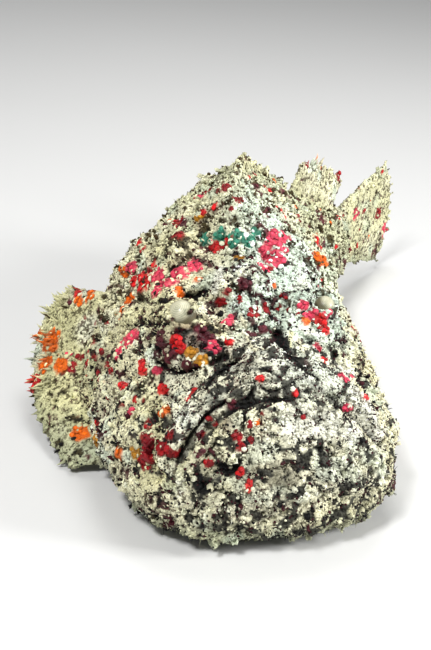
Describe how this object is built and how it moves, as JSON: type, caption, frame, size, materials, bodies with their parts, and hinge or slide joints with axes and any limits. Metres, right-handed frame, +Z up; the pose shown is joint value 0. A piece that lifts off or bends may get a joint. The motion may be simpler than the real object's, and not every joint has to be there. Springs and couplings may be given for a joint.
{
  "type": "stonefish",
  "caption": "Reef stonefish at life size resting on its belly: broad warty head with an upturned mouth, small raised eyes, fleshy fan fins, sheathed back spines and a tail turned to one side",
  "frame": {"origin": "On the floor under the middle of the fish's bounding box", "axes": "The fish faces -Y with its back up along +Z, its right side at -X, and its tail bent towards +X"},
  "size_m": [0.1998, 0.2528, 0.0977],
  "materials": {
    "skin": "rough, warty skin in cream and sage grey with dark pits and red and orange spots",
    "lip": "rough, speckled black and pale grey skin of the lips and chin",
    "fin": "thick fleshy fin skin in cream with orange and red edges",
    "spine": "thick warty skin over the back spines, cream and maroon",
    "eye": "smooth pale greenish eye with fine concentric lines"
  },
  "bodies": {
    "root": {"head": "skin", "lower_jaw": "lip", "eye_left": "eye", "eye_right": "eye", "torso": "skin", "tail": "skin", "pectoral_fin_left": "fin", "pectoral_fin_right": "fin", "pelvic_fin_left": "fin", "pelvic_fin_right": "fin", "dorsal_fin_spiny": "spine", "dorsal_fin_soft": "fin", "anal_fin": "fin", "caudal_fin": "fin"}
  },
  "joints": []
}
